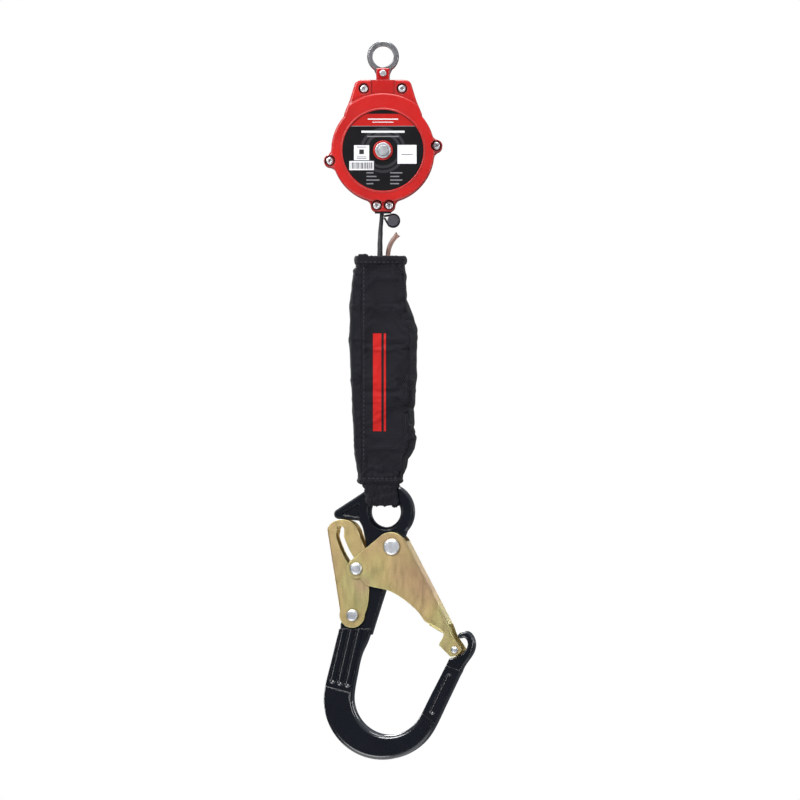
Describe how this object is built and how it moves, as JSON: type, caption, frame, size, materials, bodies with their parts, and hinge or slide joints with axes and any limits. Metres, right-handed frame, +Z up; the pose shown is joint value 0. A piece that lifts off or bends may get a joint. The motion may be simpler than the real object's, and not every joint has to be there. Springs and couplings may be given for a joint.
{
  "type": "self retracting lifeline",
  "caption": "Retractable web lifeline: swivel anchor eye, red drum housing, black webbing, fabric energy absorber pouch and a large locking scaffold hook with a gold gate.",
  "frame": {"origin": "centre of the anchor eye hole", "axes": "+Z up towards the anchor, -Z along the hanging web, -Y towards the labelled front, +X to the right seen from the front"},
  "size_m": [0.1311, 0.0566, 0.6181],
  "materials": {
    "eye_steel": "satin",
    "red_clevis": "gloss",
    "zinc_steel": "satin",
    "red_housing": "gloss",
    "label_print": "satin",
    "black_plastic": "matte",
    "drum_aluminium": "satin",
    "bronze": "satin",
    "spring_steel": "satin",
    "black_webbing": "matte",
    "grey_plastic": "satin",
    "pouch_fabric": "matte",
    "clear_tail": "satin",
    "black_forging": "gloss",
    "gold_zinc": "satin"
  },
  "bodies": {
    "anchor_eye": {"anchor_eye_ring": "eye_steel"},
    "clevis": {"swivel_clevis": "red_clevis", "eye_cross_pin": "zinc_steel", "swivel_nut": "zinc_steel", "thrust_washer": "zinc_steel"},
    "housing": {"front_cover": "red_housing", "rear_cover": "red_housing", "front_label": "label_print", "rear_label": "label_print", "cover_screws": "zinc_steel", "cover_nuts": "zinc_steel", "centre_washers": "zinc_steel", "centre_bolt": "zinc_steel", "centre_lock_nut": "zinc_steel", "load_frame": "zinc_steel", "drum_shaft": "zinc_steel", "exit_guide": "black_plastic", "ratchet_ring": "zinc_steel", "spring_cup": "spring_steel", "power_spring": "spring_steel", "web_lead": "black_webbing"},
    "roller_left": {"roller_left": "zinc_steel"},
    "roller_right": {"roller_right": "zinc_steel"},
    "drum": {"drum_core": "drum_aluminium", "drum_front_flange": "drum_aluminium", "drum_rear_flange": "drum_aluminium", "drum_screws": "zinc_steel", "drum_bushes": "bronze", "spring_arbor": "drum_aluminium", "pawl_pins": "zinc_steel", "pawl_springs": "spring_steel", "webbing_coil": "black_webbing"},
    "pawl_upper": {"pawl_upper": "zinc_steel"},
    "pawl_lower": {"pawl_lower": "zinc_steel"},
    "pack": {"web_line": "black_webbing", "stopper_loop": "black_webbing", "stopper_pin": "grey_plastic", "absorber_pouch": "pouch_fabric", "pouch_gather": "pouch_fabric", "upper_web_link": "black_webbing", "tear_web_pack": "black_webbing", "pouch_tail": "clear_tail", "lower_web_loop": "black_webbing"},
    "hook": {"hook_body": "black_forging", "gate_rivet": "zinc_steel", "gate_spacers": "zinc_steel", "lever_rivet": "zinc_steel", "gate_spring": "spring_steel", "lever_spring": "spring_steel"},
    "gate": {"gate_channel": "gold_zinc", "lock_rivet": "zinc_steel", "nose_pin": "zinc_steel"},
    "lock_lever": {"lock_lever": "gold_zinc"}
  },
  "joints": [
    {"name": "eye_tilt", "type": "hinge", "parent": "anchor_eye", "child": "clevis", "pos_m": [0, 0, -0.0147], "axis": [0, 1, 0], "range_deg": [-30, 30]},
    {"name": "eye_swivel", "type": "hinge", "parent": "clevis", "child": "housing", "pos_m": [0, 0, -0.03], "axis": [0, 0, 1], "continuous": true},
    {"name": "payout", "type": "slide", "parent": "housing", "child": "pack", "axis": [0, 0, -1], "range_m": [0, 1.24], "stiffness_N_per_m": 8, "springref_m": -1.9, "deforming": ["web_line"]},
    {"name": "drum_spin", "type": "hinge", "parent": "housing", "child": "drum", "pos_m": [0, 0, -0.0813], "axis": [0, -1, 0], "range_deg": [-1, 3349]},
    {"name": "roller_left_spin", "type": "hinge", "parent": "housing", "child": "roller_left", "pos_m": [-0.0053, 0, -0.1282], "axis": [0, 1, 0], "range_deg": [-1, 16149]},
    {"name": "roller_right_spin", "type": "hinge", "parent": "housing", "child": "roller_right", "pos_m": [0.0053, 0, -0.1282], "axis": [0, 1, 0], "continuous": true},
    {"name": "pawl_upper_swing", "type": "hinge", "parent": "drum", "child": "pawl_upper", "pos_m": [0, 0, -0.0613], "axis": [0, 1, 0], "range_deg": [0, 15], "stiffness_Nm_per_rad": 0.02, "springref_deg": -17.19},
    {"name": "pawl_lower_swing", "type": "hinge", "parent": "drum", "child": "pawl_lower", "pos_m": [0, 0, -0.1013], "axis": [0, 1, 0], "range_deg": [0, 15], "stiffness_Nm_per_rad": 0.02, "springref_deg": -17.19},
    {"name": "hook_swing", "type": "hinge", "parent": "pack", "child": "hook", "pos_m": [0.0029, 0, -0.3912], "axis": [0.225, 0.9744, 0], "range_deg": [-45, 20]},
    {"name": "gate_swing", "type": "hinge", "parent": "hook", "child": "gate", "pos_m": [0.00972, -0.00158, -0.4212], "axis": [0.225, 0.9744, 0], "range_deg": [0, 47], "stiffness_Nm_per_rad": 0.15, "springref_deg": -68.75, "deforming": ["gate_spring"]},
    {"name": "lever_squeeze", "type": "hinge", "parent": "hook", "child": "lock_lever", "pos_m": [-0.02467, 0.00637, -0.4803], "axis": [0.225, 0.9744, 0], "range_deg": [0, 9.5]}
  ],
  "couplings": [
    {"joint": "drum_spin", "follows": "payout", "rad_per_m": 47.124},
    {"joint": "roller_left_spin", "follows": "payout", "rad_per_m": 227.27},
    {"joint": "pawl_lower_swing", "follows": "pawl_upper_swing", "ratio": 1},
    {"joint": "lever_squeeze", "follows": "gate_swing", "ratio": 0.2}
  ]
}
